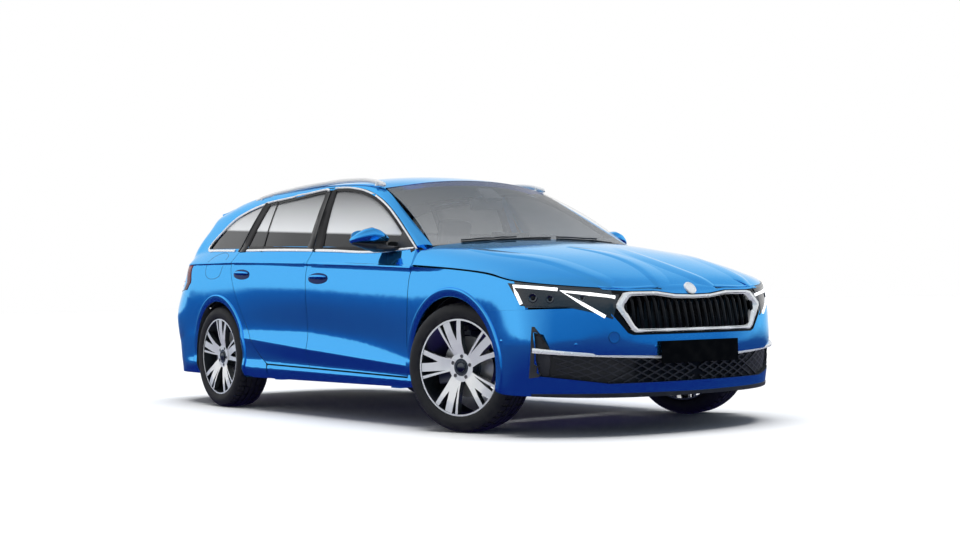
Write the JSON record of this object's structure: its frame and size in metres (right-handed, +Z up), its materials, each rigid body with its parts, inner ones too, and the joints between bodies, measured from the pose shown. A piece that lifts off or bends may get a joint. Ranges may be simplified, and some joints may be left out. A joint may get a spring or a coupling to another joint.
{
  "type": "station wagon",
  "caption": "Full-size passenger station wagon with hinged doors, lids and steered, spinning wheels.",
  "frame": {"origin": "on the ground, in the middle of the overall box", "axes": "+X towards the nose, +Y to the car's left, +Z up"},
  "size_m": [4.6885, 2.012, 1.4434],
  "materials": {
    "paint": "metallic blue paint",
    "tinted_glass": "tinted",
    "clear_glass": "clear",
    "gloss_black": "gloss",
    "black_plastic": "grained",
    "lamp_lens": "clear lens",
    "red_lens": "gloss",
    "rail_silver": "satin",
    "alloy": "machined and painted",
    "tyre_rubber": "matte",
    "cast_metal": "rough",
    "steel": "brushed",
    "seat_fabric": "woven",
    "cabin_plastic": "grained"
  },
  "bodies": {
    "body": {"quarters": "paint", "quarter_glass": "tinted_glass", "rear_bumper": "paint", "tail_lamps": "red_lens", "fenders": "paint", "front_bumper": "paint", "headlamps": "lamp_lens", "grille": "gloss_black", "lower_grille": "black_plastic", "windscreen": "clear_glass", "roof": "paint", "roof_sides": "paint", "rear_axle": "cast_metal", "arch_liners": "black_plastic", "sills": "paint", "floor_pan": "black_plastic", "engine_block": "cast_metal", "front_subframe": "steel", "exhaust": "steel", "front_seats": "seat_fabric", "rear_bench": "seat_fabric", "dashboard": "cabin_plastic", "roof_rails": "rail_silver", "number_plate": "black_plastic"},
    "front_right_door": {"door_front_right": "paint", "glass_front_right": "tinted_glass", "mirror_right": "paint"},
    "front_left_door": {"door_front_left": "paint", "glass_front_left": "tinted_glass", "mirror_left": "paint"},
    "rear_right_door": {"door_rear_right": "paint", "glass_rear_right": "tinted_glass"},
    "rear_left_door": {"door_rear_left": "paint", "glass_rear_left": "tinted_glass"},
    "lid": {"tailgate": "paint", "rear_glass": "tinted_glass", "lid_lamps": "red_lens"},
    "hood": {"bonnet": "paint"},
    "steer_right": {"knuckle_right": "cast_metal"},
    "steer_left": {"knuckle_left": "cast_metal"},
    "front_right_wheel": {"wheel_front_right": "alloy", "tyre_front_right": "tyre_rubber"},
    "front_left_wheel": {"wheel_front_left": "alloy", "tyre_front_left": "tyre_rubber"},
    "rear_right_wheel": {"wheel_rear_right": "alloy", "tyre_rear_right": "tyre_rubber"},
    "rear_left_wheel": {"wheel_rear_left": "alloy", "tyre_rear_left": "tyre_rubber"},
    "hand_wheel": {"steering_wheel": "cabin_plastic"}
  },
  "joints": [
    {"name": "steer_left", "type": "hinge", "parent": "body", "child": "steer_left", "pos_m": [1.4655, 0.775, 0.33], "axis": [0, 0, 1], "range_deg": [-56, 20]},
    {"name": "steer_right", "type": "hinge", "parent": "body", "child": "steer_right", "pos_m": [1.4655, -0.775, 0.33], "axis": [0, 0, 1], "range_deg": [-56, 20]},
    {"name": "front_left_spin", "type": "hinge", "parent": "steer_left", "child": "front_left_wheel", "pos_m": [1.4655, 0.775, 0.33], "axis": [-0.309, 0.9511, 0], "continuous": true},
    {"name": "front_right_spin", "type": "hinge", "parent": "steer_right", "child": "front_right_wheel", "pos_m": [1.4655, -0.775, 0.33], "axis": [-0.309, 0.9511, 0], "continuous": true},
    {"name": "rear_left_spin", "type": "hinge", "parent": "body", "child": "rear_left_wheel", "pos_m": [-1.2205, 0.775, 0.33], "axis": [0, 1, 0], "continuous": true},
    {"name": "rear_right_spin", "type": "hinge", "parent": "body", "child": "rear_right_wheel", "pos_m": [-1.2205, -0.775, 0.33], "axis": [0, 1, 0], "continuous": true},
    {"name": "front_right_door_hinge", "type": "hinge", "parent": "body", "child": "front_right_door", "pos_m": [1.1045, -0.909, 0.7], "axis": [0, 0, 1], "range_deg": [0, 68]},
    {"name": "front_left_door_hinge", "type": "hinge", "parent": "body", "child": "front_left_door", "pos_m": [1.1045, 0.909, 0.7], "axis": [0, 0, -1], "range_deg": [0, 68]},
    {"name": "rear_right_door_hinge", "type": "hinge", "parent": "body", "child": "rear_right_door", "pos_m": [0.0015, -0.911, 0.7], "axis": [0, 0, 1], "range_deg": [0, 70]},
    {"name": "rear_left_door_hinge", "type": "hinge", "parent": "body", "child": "rear_left_door", "pos_m": [0.0015, 0.911, 0.7], "axis": [0, 0, -1], "range_deg": [0, 70]},
    {"name": "lid_hinge", "type": "hinge", "parent": "body", "child": "lid", "pos_m": [-1.833, 0, 1.346], "axis": [0, 1, 0], "range_deg": [0, 75]},
    {"name": "hood_hinge", "type": "hinge", "parent": "body", "child": "hood", "pos_m": [1.003, 0, 1.003], "axis": [0, -1, 0], "range_deg": [0, 50]},
    {"name": "hand_wheel_turn", "type": "hinge", "parent": "body", "child": "hand_wheel", "pos_m": [0.64, 0.37, 0.88], "axis": [-0.9063, 0, 0.4226], "range_deg": [-784, 280]}
  ],
  "couplings": [
    {"joint": "steer_right", "follows": "steer_left", "ratio": 1},
    {"joint": "hand_wheel_turn", "follows": "steer_left", "ratio": 14}
  ]
}
